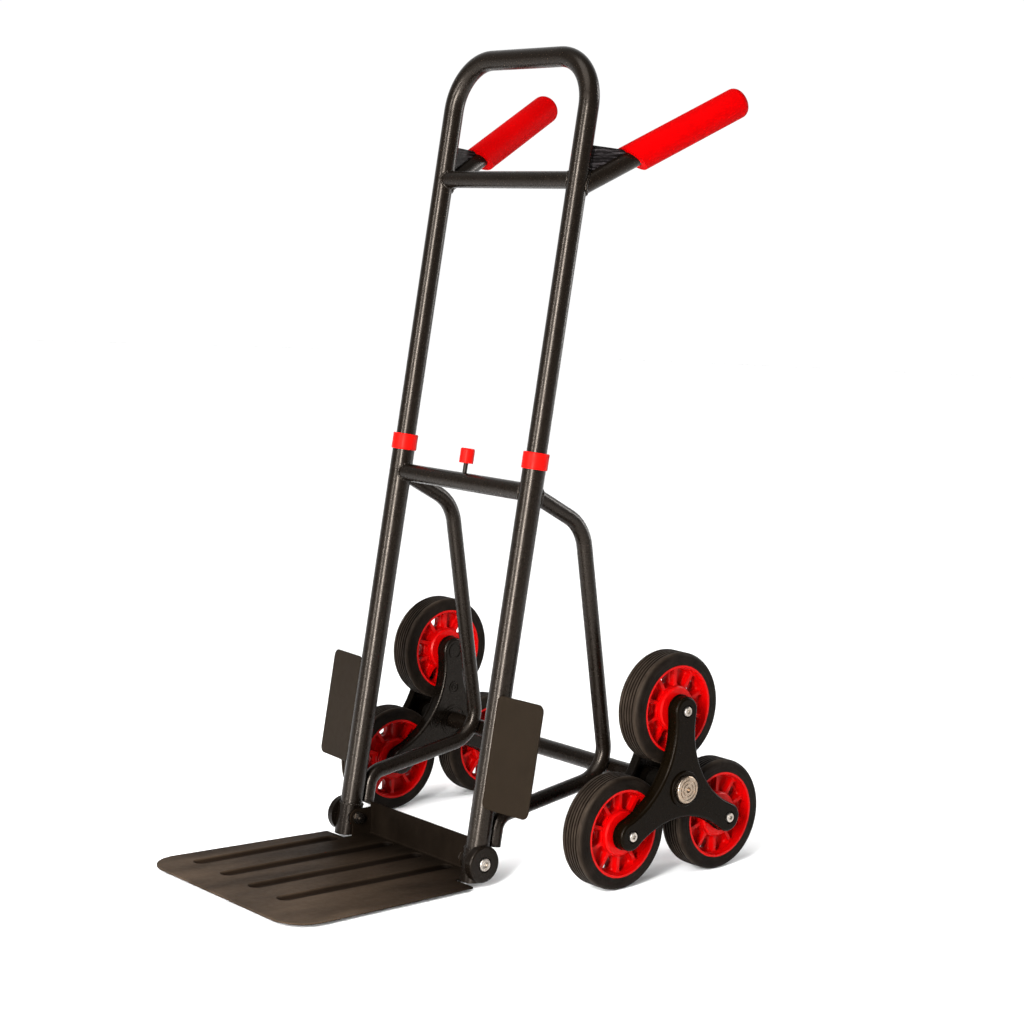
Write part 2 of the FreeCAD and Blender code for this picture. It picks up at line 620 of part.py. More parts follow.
def star_wire(tip_r, waist, x):
    """Three round tips joined by hollow sides that are tangent to them."""
    side_r = (CLUSTER_R ** 2 - waist * CLUSTER_R + waist ** 2 - tip_r ** 2) / (
        CLUSTER_R + 2 * tip_r - 2 * waist)
    edges = []
    for angle in STAR_ANGLES.values():
        tip = polar(CLUSTER_R, angle, x)
        touch = []
        for turn in (-60, 60):
            side_centre = polar(side_r + waist, angle + turn, x)
            touch.append(tip + (side_centre - tip).normalize() * tip_r)
        edges.append(Part.Arc(touch[0], polar(CLUSTER_R + tip_r, angle, x), touch[1]).toShape())
        next_tip = polar(CLUSTER_R, angle + 120, x)
        side_centre = polar(side_r + waist, angle + 60, x)
        landing = next_tip + (side_centre - next_tip).normalize() * tip_r
        edges.append(Part.Arc(touch[1], polar(waist, angle + 60, x), landing).toShape())
    return Part.Wire(Part.__sortEdges__(edges))


def star_block(x0, x1, tip_r, waist):
    return Part.Face(star_wire(tip_r, waist, x0)).extrude(Vector(x1 - x0, 0, 0))


def star_plate(face_x, back_x):
    """Moulded three-armed plate: a face, a skirt with a lip round it, and bosses inside."""
    inward = 1 if back_x > face_x else -1
    block = star_block(face_x, back_x, STAR_TIP_R, STAR_WAIST)
    rim = [edge for edge in block.Edges if edge.BoundBox.XLength < 1e-6
           and abs(edge.BoundBox.XMin - face_x) < 1e-6]
    block = block.makeFillet(STAR_EDGE_R, rim)
    block = block.fuse(star_block(back_x - inward * STAR_LIP_WIDTH, back_x,
                                  STAR_TIP_R + STAR_LIP, STAR_WAIST + STAR_LIP))
    web = face_x + inward * (STAR_EDGE_R + 1.0)
    block = block.cut(star_block(web, back_x + inward, STAR_TIP_R - STAR_WALL,
                                 STAR_WAIST - STAR_WALL))
    bosses = [x_rod(*sorted((web - inward, back_x)), AXLE_Y, AXLE_Z, HUB_BOSS_R)]
    for angle in STAR_ANGLES.values():
        centre = polar(CLUSTER_R, angle)
        bosses.append(x_rod(*sorted((web - inward, back_x)), centre.y, centre.z, BOLT_BOSS_R))
    return fuse([block] + bosses)


def bolt_holes(shape, x0, x1):
    for angle in STAR_ANGLES.values():
        centre = polar(CLUSTER_R, angle)
        shape = shape.cut(x_rod(x0, x1, centre.y, centre.z, WHEEL_BOLT_R))
    return shape


def outer_plate():
    plate = star_plate(OUTER_PLATE_X, OUTER_PLATE_X - STAR_DEPTH)
    collar_ring = x_ring(OUTER_PLATE_X - 1, OUTER_PLATE_X + 3, AXLE_Y, AXLE_Z, *HUB_COLLAR)
    collar_ring = round_edges(collar_ring, 1.2, OUTER_PLATE_X + 2, OUTER_PLATE_X + 4)
    plate = plate.fuse(collar_ring)
    for angle in STAR_ANGLES.values():
        centre = polar(CLUSTER_R, angle)
        plate = plate.cut(x_rod(OUTER_PLATE_X - HEAD_RECESS, OUTER_PLATE_X + 1,
                                centre.y, centre.z, BOLT_END_R + 2.5))
    axle_hole = x_rod(OUTER_PLATE_X - 20, OUTER_PLATE_X + 5, AXLE_Y, AXLE_Z, AXLE_R + RUNNING)
    return bolt_holes(plate.cut(axle_hole), OUTER_PLATE_X - 20, OUTER_PLATE_X + 5)


def inner_plate():
    """The wheel bolts end in blind bosses, so its outside shows only moulded rings."""
    plate = star_plate(INNER_PLATE_X, INNER_PLATE_X + STAR_DEPTH)
    raised = INNER_PLATE_X - RING_HEIGHT
    rings = [x_ring(raised, INNER_PLATE_X + 1, AXLE_Y, AXLE_Z, outer, inner)
             for outer, inner in HUB_RINGS]
    for radius, angle in RING_PLACES:
        centre = polar(radius, angle)
        for outer, inner in SMALL_RINGS:
            rings.append(x_ring(raised, INNER_PLATE_X + 1, centre.y, centre.z, outer, inner))
    for angle in STAR_ANGLES.values():
        centre = polar(CLUSTER_R, angle)
        rings.append(x_ring(raised, INNER_PLATE_X + 1, centre.y, centre.z, *TIP_RING))
    axle_hole = x_rod(INNER_PLATE_X - 5, INNER_PLATE_X + 20, AXLE_Y, AXLE_Z, AXLE_R + RUNNING)
    plate = fuse([plate] + rings).cut(axle_hole)
    return bolt_holes(plate, INNER_PLATE_X + BLIND_WALL, INNER_PLATE_X + 20)


def hub_sleeve():
    return x_ring(INNER_PLATE_X + STAR_DEPTH, OUTER_PLATE_X - STAR_DEPTH, AXLE_Y, AXLE_Z,
                  SLEEVE_R, AXLE_R + RUNNING)


def wheel_bolts():
    """Three axle bolts, from the outer plate through the wheels into the inner plate."""
    bolts = []
    head_x = OUTER_PLATE_X - HEAD_RECESS
    for angle in STAR_ANGLES.values():
        c = polar(CLUSTER_R, angle)
        head = x_rod(head_x, head_x + 4.5, c.y, c.z, BOLT_END_R)
        head = round_edges(head, 1.2, head_x + 1, head_x + 6)
        head = head.cut(x_rod(head_x + 2, head_x + 6, c.y, c.z, 2.8))
        shank = x_rod(INNER_PLATE_X + BLIND_WALL, head_x + 1, c.y, c.z, WHEEL_BOLT_R)
        bolts.append(shank.fuse(head))
    return bolts


def revolved(profile):
    """Revolve a closed outline of (x, radius) points about a line along X."""
    points = [Vector(x, 0, r) for x, r in profile]
    face = Part.Face(Part.makePolygon(points + points[:1]))
    return face.revolve(Vector(0, 0, 0), X, 360)


def tyre():
    """Solid rubber ring with round shoulders and grooves round the tread."""
    half, bead = TYRE_HALF_WIDTH, TYRE_HALF_WIDTH - RIM_LIP
    outline = [(-bead, RIM_SEAT_R), (-bead, RIM_LIP_R), (-half, RIM_LIP_R), (-half, WHEEL_R)]
    for centre in GROOVES:
        for offset, depth in ((-1, 0), (-0.5, GROOVE_DEPTH), (0.5, GROOVE_DEPTH), (1, 0)):
            outline.append((centre + offset * GROOVE_WIDTH, WHEEL_R - depth))
    outline += [(half, WHEEL_R), (half, RIM_LIP_R), (bead, RIM_LIP_R), (bead, RIM_SEAT_R)]
    ring = revolved(outline)
    for side in (-half, half):
        ring = round_edges(ring, TYRE_SHOULDER_R, side - 0.1, side + 0.1, wider_than=RIM_LIP_R + 1)
    return ring


HUB_HALF = (OUTER_PLATE_X - INNER_PLATE_X) / 2 - STAR_DEPTH - GAP
BUSH_R = 9.0


def pocket():
    """Cutter for one pocket between two ribs, from the web outwards, with soft corners."""
    def corner(radius, turn):
        edge = math.radians(180 / POCKETS) - math.asin(RIB_WIDTH / 2 / radius)
        return Vector(WEB / 2, radius * math.sin(turn * edge), radius * math.cos(turn * edge))
    inner, outer = POCKET_INNER_R, POCKET_OUTER_R
    outline = Part.Wire([
        Part.LineSegment(corner(inner, -1), corner(outer, -1)).toShape(),
        Part.Arc(corner(outer, -1), Vector(WEB / 2, 0, outer), corner(outer, 1)).toShape(),
        Part.LineSegment(corner(outer, 1), corner(inner, 1)).toShape(),
        Part.Arc(corner(inner, 1), Vector(WEB / 2, 0, inner), corner(inner, -1)).toShape(),
    ])
    block = Part.Face(outline).extrude(Vector(TYRE_HALF_WIDTH, 0, 0))
    upright_edges = [edge for edge in block.Edges if edge.BoundBox.XLength > 1]
    block = block.makeFillet(POCKET_CORNER_R, upright_edges)
    floor_edges = [edge for edge in block.Edges if edge.BoundBox.XMax < WEB / 2 + 0.1]
    return block.makeFillet(POCKET_CORNER_R - 1, floor_edges)


def rim():
    """Moulded wheel centre: seat between two lips, hub disc, and pockets round a thin web."""
    half, bead = TYRE_HALF_WIDTH, TYRE_HALF_WIDTH - RIM_LIP
    outline = [(-HUB_HALF, BUSH_R), (-HUB_HALF, 15.0), (-half + 1.5, 16.5), (-half + 1.5, 29.0),
               (-half + 3.5, 31.0), (-half + RIB_SET_BACK, 31.0), (-half + RIB_SET_BACK, 56.5),
               (-half, RIM_LIP_R - 3), (-half, RIM_LIP_R), (-bead, RIM_LIP_R), (-bead, RIM_SEAT_R)]
    outline += [(-x, r) for x, r in reversed(outline)]
    cutters = []
    for k in range(POCKETS):
        turn = 360 / POCKETS * (k + 0.5)
        window = x_rod(-half, half, 0, WINDOW_CIRCLE_R, WINDOW_R)
        shapes = [pocket(), pocket().mirror(Vector(0, 0, 0), X), window]
        for cutter in shapes if k % 2 == 0 else shapes[:2]:
            cutter.rotate(Vector(0, 0, 0), X, turn)
            cutters.append(cutter)
    return revolved(outline).cut(cutters)


def wheel_bush():
    return x_ring(-HUB_HALF, HUB_HALF, 0, 0, BUSH_R, WHEEL_BOLT_R + RUNNING)


def main():
    os.makedirs("parts", exist_ok=True)
    per_side = {"upright": upright, "collar": collar, "hinge_knuckle": knuckle,
                "rear_frame": rear_frame, "side_plate": side_plate, "latch_pin": latch_pin,
                "handle_tube": handle_tube, "gusset": gusset, "grip": grip,
                "outer_plate": outer_plate, "inner_plate": inner_plate, "hub_sleeve": hub_sleeve}
    for name, make in per_side.items():
        for side_name, side in SIDES.items():
            save("%s_%s" % (name, side_name), mirrored(make(), side))
    for side_name, side in SIDES.items():
        save("wheel_bolts_" + side_name, mirrored(Part.makeCompound(wheel_bolts()), side))
    both_sides = {"leg_plugs": lambda: [leg_plug()], "axle_bushes": lambda: [axle_bush()],
                  "hub_caps": lambda: [hub_cap()], "latch_guides": lambda: [latch_guide()],
                  "guide_bushes": lambda: [guide_bush()], "hinge_fasteners": hinge_fasteners}
    for name, make in both_sides.items():
        pair = [mirrored(solid, side) for side in SIDES.values() for solid in make()]
        save(name, Part.makeCompound(pair))
    single = {"lower_crossbar": lower_crossbar, "axle_tube": axle_tube,
              "axle_rod": lambda: x_rod(-AXLE_END, AXLE_END, AXLE_Y, AXLE_Z, AXLE_R),
              "latch_button": latch_button, "latch_stem": latch_stem,
              "upper_frame": upper_frame, "upper_crossbar": upper_crossbar,
              "toe_plate": toe_plate}
    for name, make in single.items():
        save(name, make())
    wheel = {"tyre": tyre(), "rim": rim(), "wheel_bush": wheel_bush()}
    for side_name, side in SIDES.items():
        for place, angle in STAR_ANGLES.items():
            for name, centred in wheel.items():
                shape = centred.copy()
                shape.translate(polar(CLUSTER_R, angle, WHEEL_X))
                save("%s_%s_%s" % (name, side_name, place), mirrored(shape, side))


main()
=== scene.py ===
import json
import math
import random

import bpy
from mathutils import Matrix, Vector


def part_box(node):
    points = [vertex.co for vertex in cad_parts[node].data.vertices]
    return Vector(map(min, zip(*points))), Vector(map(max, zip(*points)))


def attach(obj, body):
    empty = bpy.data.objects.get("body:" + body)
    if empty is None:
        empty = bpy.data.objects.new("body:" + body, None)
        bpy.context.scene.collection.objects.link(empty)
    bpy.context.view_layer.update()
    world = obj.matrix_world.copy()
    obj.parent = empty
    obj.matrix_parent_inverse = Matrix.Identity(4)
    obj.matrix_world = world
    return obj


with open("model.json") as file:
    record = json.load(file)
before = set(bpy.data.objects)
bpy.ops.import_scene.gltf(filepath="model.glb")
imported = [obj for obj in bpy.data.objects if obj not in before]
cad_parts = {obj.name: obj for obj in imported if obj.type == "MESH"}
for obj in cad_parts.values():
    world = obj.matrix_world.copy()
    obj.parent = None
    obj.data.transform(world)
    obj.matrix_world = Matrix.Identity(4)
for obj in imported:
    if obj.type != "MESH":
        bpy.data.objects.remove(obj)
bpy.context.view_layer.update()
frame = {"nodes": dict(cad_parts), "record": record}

NODES = frame["nodes"]
JOINTS = {joint["name"]: joint for joint in frame["record"]["behaviour"]["joints"]}
SIDES = {"left": -1, "right": 1}


def middle(node):
    low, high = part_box(node)
    return (Vector(low) + Vector(high)) / 2


# ---- where the tubes run ---------------------------------------------------------------
# In metres, as in the CAD. _S is a distance along the uprights from the foot of their axis,
# and _R is the outer radius of a tube.
UP = Vector(JOINTS["upper_frame_slide"]["axis"]).normalized()
BACK = Vector((0, UP.z, -UP.y))
HINGE = Vector(JOINTS["toe_plate_fold"]["pos_m"])
HINGE_S = 0.0207            # hinge bolt
HALF_SPACING = 0.1435       # an upright's axis, from the mid-plane
UPRIGHT_R = 0.016
UPPER_R = 0.014
CROSSBAR_R = 0.0125
UPPER_CROSSBAR_R = 0.012
REAR_R = 0.011
HANDLE_R = 0.0125
HANDLE_S = 0.936
HANDLE_SPLAY = math.radians(14.7)
HANDLE_RISE = math.radians(35.7)
NECK_S = 0.038              # lower end of the upright's tube
SIDE_PLATE_S = (0.096, 0.250)
LEG_S = (0.048, 0.080)
REAR_TOP_S = 0.525
REAR_SHOULDER_RISE = 0.481
REAR_SHOULDER_BACK = 0.171  # shoulder corner behind the hinge bolt
PLATE_TOP = 0.007           # upper face of the toe plate
RIB_SHADE_DARKEST_DEPTH = 0.0022     # where the painted shade in the plate's ribs is darkest, and where it ends
RIB_SHADE_END_DEPTH = 0.0004


def on_upright(s, back=0.0, across=HALF_SPACING):
    """A point of the upright frame: s along the uprights, back from them, across from middle."""
    return Vector((across, HINGE.y, HINGE.z)) + UP * (s - HINGE_S) + BACK * back


# ---- materials -------------------------------------------------------------------------
WARM_GLOSS = (1.0, 0.86, 0.74, 1.0)
DARKER_EDGE = 0.001           # how far the change from the darker to the bright colour reaches


class Look:
    """A node material: a Principled shader plus the procedural detail that feeds it."""

    def __init__(self, name, roughness, metallic=0.0, specular=0.5):
        self.material = bpy.data.materials.new(name)
        self.material.use_nodes = True
        self.tree = self.material.node_tree
        self.shader = self.tree.nodes["Principled BSDF"]
        self.shader.inputs["Roughness"].default_value = roughness
        self.shader.inputs["Metallic"].default_value = metallic
        self.shader.inputs["Specular IOR Level"].default_value = specular
        self.shader.inputs["Specular Tint"].default_value = WARM_GLOSS
        coordinates = self.node("ShaderNodeTexCoord")
        self.place = coordinates.outputs["Object"]
        self.facing = coordinates.outputs["Normal"]
        self.height = None

    def node(self, kind, **settings):
        made = self.tree.nodes.new(kind)
        for key, value in settings.items():
            setattr(made, key, value)
        return made

    def link(self, source, target):
        self.tree.links.new(source, target)

    def mapped(self, centre=(0, 0, 0), stretch=(1, 1, 1)):
        mapping = self.node("ShaderNodeMapping")
        mapping.inputs["Location"].default_value = [-c * s for c, s in zip(centre, stretch)]
        mapping.inputs["Scale"].default_value = stretch
        self.link(self.place, mapping.inputs["Vector"])
        return mapping.outputs["Vector"]

    def noise(self, scale, detail=4.0, roughness=0.55, stretch=(1, 1, 1)):
        texture = self.node("ShaderNodeTexNoise")
        texture.inputs["Scale"].default_value = scale
        texture.inputs["Detail"].default_value = detail
        texture.inputs["Roughness"].default_value = roughness
        self.link(self.mapped(stretch=stretch), texture.inputs["Vector"])
        return texture.outputs["Fac"]

    def rings(self, centre, pitch, distortion=0.3):
        """Circles about a line through centre along X, one each pitch metres."""
        wave = self.node("ShaderNodeTexWave", wave_type="RINGS", rings_direction="X")
        # At scale 1 the wave texture makes a ring every pi / 10.
        wave.inputs["Scale"].default_value = math.pi / (10 * pitch)
        wave.inputs["Distortion"].default_value = distortion
        self.link(self.mapped(centre), wave.inputs["Vector"])
        return wave.outputs["Fac"]

    def sideways(self):
        """1 where the surface faces along X, 0 where it faces away from it."""
        split = self.node("ShaderNodeSeparateXYZ")
        self.link(self.facing, split.inputs[0])
        size = self.node("ShaderNodeMath", operation="ABSOLUTE")
        self.link(split.outputs["X"], size.inputs[0])
        return size.outputs[0]

    def along(self, axis):
        """The place along one axis, in metres."""
        split = self.node("ShaderNodeSeparateXYZ")
        self.link(self.place, split.inputs[0])
        return split.outputs[axis]

    def side_distance(self):
        """Distance from the trolley's mid-plane."""
        size = self.node("ShaderNodeMath", operation="ABSOLUTE")
        self.link(self.along("X"), size.inputs[0])
        return size.outputs[0]

    def ramp(self, source, stops):
        """Colours by value: stops are (position, colour)."""
        ramp = self.node("ShaderNodeValToRGB")
        elements = ramp.color_ramp.elements
        while len(elements) < len(stops):
            elements.new(0.5)
        for element, (position, colour) in zip(elements, stops):
            element.position = position
            element.color = (*colour, 1.0)
        self.link(source, ramp.inputs["Fac"])
        return ramp.outputs["Color"]

    def blend(self, under, over, amount):
        mix = self.node("ShaderNodeMix", data_type="RGBA")
        self.link(amount, mix.inputs["Factor"])
        self.link(under, mix.inputs["A"])
        self.link(over, mix.inputs["B"])
        return mix.outputs["Result"]

    def shade(self, under, shadow):
        mix = self.node("ShaderNodeMix", data_type="RGBA", blend_type="MULTIPLY")
        mix.inputs["Factor"].default_value = 1.0
        self.link(under, mix.inputs["A"])
        self.link(shadow, mix.inputs["B"])
        return mix.outputs["Result"]

    def spread(self, source, low, high, start=0.3, end=0.7):
        """The source value between start and end, carried onto low to high."""
        reach = self.node("ShaderNodeMapRange")
        for name, value in (("From Min", start), ("From Max", end),
                            ("To Min", low), ("To Max", high)):
            reach.inputs[name].default_value = value
        self.link(source, reach.inputs["Value"])
        return reach.outputs["Result"]

    def colour(self, source):
        self.link(source, self.shader.inputs["Base Color"])

    def roughness(self, source):
        self.link(source, self.shader.inputs["Roughness"])

    def bump(self, source, depth, strength=1.0):
        """Adds a layer of surface height, in metres."""
        bump = self.node("ShaderNodeBump")
        bump.inputs["Distance"].default_value = depth
        bump.inputs["Strength"].default_value = strength
        self.link(source, bump.inputs["Height"])
        if self.height:
            self.link(self.height, bump.inputs["Normal"])
        self.height = bump.outputs["Normal"]
        self.link(self.height, self.shader.inputs["Normal"])


def tone(colour, factor):
    return tuple(min(1.0, channel * factor) for channel in colour)


def powder_coat(name, colour, roughness, peel, specular=0.2):
    """Baked powder paint: cloudy tone, pale specks and an orange-peel skin."""
    look = Look(name, roughness, specular=specular)
    body = look.ramp(look.noise(7.0, detail=5.0),
                     [(0.3, tone(colour, 0.7)), (0.7, tone(colour, 1.35))])
    specks = look.ramp(look.noise(900.0, detail=2.0), [(0.6, colour), (0.78, tone(colour, 3.0))])
    look.colour(look.blend(body, specks, look.spread(look.noise(40.0), 0.2, 0.7)))
    look.roughness(look.spread(look.noise(120.0, detail=4.0), roughness - 0.03, roughness + 0.05))
    look.bump(look.noise(330.0, detail=3.0), peel)
    look.bump(look.noise(1400.0, detail=2.0), peel * 0.2)
    return look


def gusset_coat():
    """The web under each handle: the same paint over drawn lines that run to the grip."""
    look = Look("gusset_paint", 0.4, specular=0.04)
    lines = look.noise(420.0, detail=3.0, roughness=0.6, stretch=(0.07, 0.06, 1))
    look.colour(look.ramp(lines, [(0.40, (0.002, 0.0016, 0.0016)), (0.52, (0.007, 0.006, 0.0062)),
                                  (0.64, (0.034, 0.030, 0.031))]))
    look.roughness(look.spread(look.noise(300.0), 0.32, 0.5))
    look.bump(lines, 0.00025)
    return look


def scuffed_coat():
    """The toe plate: matt paint, scratched as loads slide, with painted shade towards its back
    edge and on the flange, and in the ribs.
    """
    look = powder_coat("toe_plate_paint", (0.018, 0.0125, 0.0085), 0.5, 0.00003, 0.02)
    under = look.ramp(look.noise(9.0, detail=6.0, stretch=(1.6, 0.5, 1)),
                      [(0.36, (0.018, 0.0115, 0.007)), (0.66, (0.056, 0.038, 0.025))])
    scratch = look.noise(70.0, detail=8.0, roughness=0.7, stretch=(9, 0.5, 9))
    pale = look.ramp(scratch, [(0.5, (0.020, 0.0135, 0.009)), (0.75, (0.080, 0.060, 0.044))])
    worn = look.blend(under, pale, look.spread(look.noise(6.0, detail=3.0), 0.0, 0.6, 0.42, 0.75))
    low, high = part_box("toe_plate")
    # Painted shade: the colour darkens from the front edge towards the back edge and the flange.
    heel_shade = look.ramp(look.spread(look.along("Y"), 0.0, 1.0, low[1], high[1]),
                     [(0.05, (1.0, 1.0, 1.0)), (0.5, (0.55, 0.54, 0.53)),
                      (0.85, (0.19, 0.18, 0.17)), (0.95, (0.11, 0.11, 0.11))])
    # Painted shade in the ribs: the colour darkens towards their floors and is left alone near
    # the top face.
    rib_shade = look.ramp(look.spread(look.along("Z"), 0.0, 1.0, PLATE_TOP - RIB_SHADE_DARKEST_DEPTH,
                                PLATE_TOP - RIB_SHADE_END_DEPTH),
                    [(0.0, (0.3, 0.28, 0.27)), (1.0, (1.0, 1.0, 1.0))])
    look.colour(look.shade(look.shade(worn, heel_shade), rib_shade))
    look.bump(scratch, 0.00004)
    return look


def moulded(name, colour, roughness, grain, specular=0.2):
    """Injection-moulded plastic: slight flow marks and a fine spark-eroded grain."""
    look = Look(name, roughness, specular=specular)
    body = look.ramp(look.noise(26.0, detail=3.0),
                     [(0.3, tone(colour, 0.86)), (0.7, tone(colour, 1.1))])
    flow = look.ramp(look.noise(60.0, detail=4.0, stretch=(1, 3, 0.4)),
                     [(0.35, tone(colour, 0.88)), (0.65, tone(colour, 1.06))])
    look.colour(look.blend(body, flow, look.spread(look.noise(12.0), 0.3, 0.7)))
    look.roughness(look.spread(look.noise(110.0, detail=5.0), roughness - 0.07, roughness + 0.09))
    look.bump(look.noise(1500.0, detail=2.0), grain)
    look.bump(look.noise(45.0, detail=2.0), grain * 3)
    return look


def foam(name, colour):
    """Soft vinyl grip skin: matt, faintly pored, with slow dents."""
    look = Look(name, 0.45, specular=0.012)
    look.colour(look.ramp(look.noise(30.0, detail=5.0),
                          [(0.3, tone(colour, 0.93)), (0.7, tone(colour, 1.02))]))
    look.roughness(look.spread(look.noise(200.0), 0.48, 0.66))
    look.bump(look.noise(1100.0, detail=3.0), 0.00005)
    look.bump(look.noise(38.0, detail=2.0), 0.00025)
    return look


def tyre_rubber(name, centre):
    """Solid rubber: dark sidewalls with moulding rings, and a lighter brown tread, part dust and
    part painted light.
    """
    look = Look(name, 0.5, specular=0.055)
    wall = look.ramp(look.noise(45.0, detail=5.0),
                     [(0.35, (0.0022, 0.0014, 0.0009)), (0.75, (0.0068, 0.0046, 0.0033))])
    # The tread's lighter colour is partly dust and partly painted light, as if it were lit more
    # than the sidewalls.
    tread = look.ramp(look.noise(60.0, detail=6.0, stretch=(3, 1, 1)),
                      [(0.3, (0.0075, 0.005, 0.0034)), (0.7, (0.022, 0.016, 0.0115))])
    look.colour(look.blend(tread, wall, look.spread(look.sideways(), 0.0, 1.0, 0.35, 0.85)))
    look.roughness(look.spread(look.noise(140.0, detail=5.0), 0.5, 0.72))
    look.bump(look.noise(900.0, detail=3.0), 0.00008)
    look.bump(look.rings(centre, 0.0042), 0.00012)
    return look


def zinc(name, colour, roughness, centre, pitch, darker_within=0.0):
    """Plated steel, cloudy, turned about centre; a darker colour nearer the mid-plane than the
    given distance.
    """
    look = Look(name, roughness, metallic=1.0)
    cloud = look.ramp(look.noise(150.0, detail=4.0),
                      [(0.3, tone(colour, 0.72)), (0.7, tone(colour, 1.15))])
    stain = look.ramp(look.noise(320.0, detail=5.0), [(0.42, (0.34, 0.31, 0.27)), (0.6, colour)])
    plated = look.blend(cloud, stain, look.spread(look.noise(90.0), 0.0, 0.45))
    darker_tone = look.ramp(look.noise(200.0), [(0.3, (0.05, 0.045, 0.04)), (0.7, (0.12, 0.105, 0.09))])
    bright = look.spread(look.side_distance(), 0.0, 1.0, darker_within - DARKER_EDGE, darker_within)
    look.colour(look.blend(darker_tone, plated, bright))
    look.roughness(look.spread(look.noise(500.0), roughness - 0.06, roughness + 0.14))
    look.bump(look.rings(centre, pitch), 0.00008)
    look.bump(look.noise(900.0), 0.000015)
    return look


BRIGHT_STEEL = (0.36, 0.325, 0.29)
CAP_STEEL = (0.27, 0.205, 0.15)
LOOKS = {
    "frame_paint": powder_coat("frame_paint", (0.0026, 0.0017, 0.0011), 0.27, 0.000015, 0.19),
    "plate_paint": powder_coat("plate_paint", (0.0070, 0.0047, 0.0028), 0.5, 0.00004, 0.045),
    "red_moulding": moulded("red_moulding", (0.37, 0.003, 0.002), 0.36, 0.00002, 0.04),
    "wheel_red": moulded("wheel_red", (0.33, 0.0004, 0.0006), 0.32, 0.00003, 0.08),
    "grip_red": foam("grip_red", (0.29, 0.0001, 0.0004)),
    "star_black": moulded("star_black", (0.0020, 0.0012, 0.0005), 0.22, 0.000008, 0.04),
    "black_moulding": powder_coat("knuckle_paint", (0.0024, 0.0016, 0.0011), 0.28, 0.00004, 0.10),
    "black_nylon": moulded("black_nylon", (0.003, 0.0025, 0.002), 0.4, 0.00004, 0.12),
}


def paint_nodes():
    slots = {part["node"]: part["material_slot"] for part in frame["record"]["subparts"]}
    own = {"toe_plate": scuffed_coat()}
    gusset = gusset_coat()
    inner_star = moulded("inner_star_black", (0.0016, 0.0011, 0.0007), 0.28, 0.000008, 0.13)
    for side in SIDES:
        own["gusset_" + side] = gusset
        own["inner_plate_" + side] = inner_star
        own["wheel_bolts_" + side] = zinc("bolt_zinc_" + side, BRIGHT_STEEL, 0.3,
                                          middle("hub_caps"), 0.0016)
    own["hub_caps"] = zinc("cap_zinc", CAP_STEEL, 0.24, middle("hub_caps"), 0.0013)
    own["hinge_fasteners"] = zinc("hinge_zinc", BRIGHT_STEEL, 0.28, HINGE, 0.0011, HALF_SPACING)
    for name in NODES:
        if slots[name] == "tyre_rubber":
            own[name] = tyre_rubber("rubber_" + name, middle(name))
        elif slots[name] == "zinc_steel" and name not in own:
            own[name] = zinc("zinc_" + name, BRIGHT_STEEL, 0.3, middle(name), 0.002)
    for name, obj in NODES.items():
        look = own.get(name) or LOOKS[slots[name]]
        obj.data.materials.clear()
        obj.data.materials.append(look.material)


# ---- weld beads ------------------------------------------------------------------------
BEAD_LIFT = 0.0006          # a bead's centre line, off the surface of its tube
TUBE_BEAD = 0.0019          # radii of the beads
UPPER_BEAD = 0.0018
HANDLE_BEAD = 0.002
KNUCKLE_BEAD = 0.0016
STITCH_BEAD = 0.0013
SIDE_PLATE_STITCHES = (0.12, 0.44, 0.76)    # starts, as shares of the side plate's height
STITCH_LENGTH = 0.02
STITCH_BACK = -0.0098       # the side plate's corner with the upright, from the upright's axis
STITCH_ACROSS = 0.0136
LEG_STITCH_BACK = 0.0161
LEG_STITCH_ACROSS = 0.0042
HANDLE_START = 0.08         # a point well out along the handle, from which its root is found
STEPS_PER_RIPPLE = 5
RIPPLE = 0.16               # ripple and unevenness, as shares of the bead's radius
UNEVENNESS = 0.1


def bead(name, body, points, size, closed):
    """A rippled weld bead along the points."""
    chance = random.Random(name)
    curve = bpy.data.curves.new(name, "CURVE")
    curve.dimensions = "3D"
    curve.bevel_depth = size
    curve.bevel_resolution = 3
    curve.use_fill_caps = True
    line = curve.splines.new("POLY")
    line.points.add(len(points) - 1)
    for index, (point, place) in enumerate(zip(line.points, points)):
        point.co = (*place, 1.0)
        ripple = RIPPLE * math.sin(index * 2 * math.pi / STEPS_PER_RIPPLE)
        point.radius = 1.0 + ripple + chance.uniform(-UNEVENNESS, UNEVENNESS)
    line.use_cyclic_u = closed
    obj = bpy.data.objects.new(name, curve)
    bpy.context.scene.collection.objects.link(obj)
    curve.materials.append(LOOKS["frame_paint"].material)
    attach(obj, body)


def saddle(pipe_point, pipe_axis, pipe_r, stub_point, stub_axis, stub_r, steps=110):
    """The closed line where a round stub, running along stub_axis, meets a round pipe."""
    across = stub_axis.cross(pipe_axis).normalized()
    along = across.cross(stub_axis).normalized()
    points = []
    for step in range(steps):
        turn = 2 * math.pi * step / steps
        start = stub_point + (across * math.cos(turn) + along * math.sin(turn)) * stub_r
        offset = start - pipe_point
        offset -= pipe_axis * offset.dot(pipe_axis)
        run = stub_axis - pipe_axis * stub_axis.dot(pipe_axis)
        a, b, c = run.dot(run), offset.dot(run), offset.dot(offset) - pipe_r ** 2
        reach = (-b - math.sqrt(max(0.0, b * b - a * c))) / a
        points.append(start + stub_axis * reach)
    return points


def ring(centre, axis, radius, steps=110):
    side = axis.orthogonal().normalized()
    other = axis.cross(side).normalized()
    turns = [2 * math.pi * step / steps for step in range(steps)]
    return [centre + side * radius * math.cos(t) + other * radius * math.sin(t) for t in turns]


def straight(start, end, steps=30):
    return [start.lerp(end, step / steps) for step in range(steps + 1)]


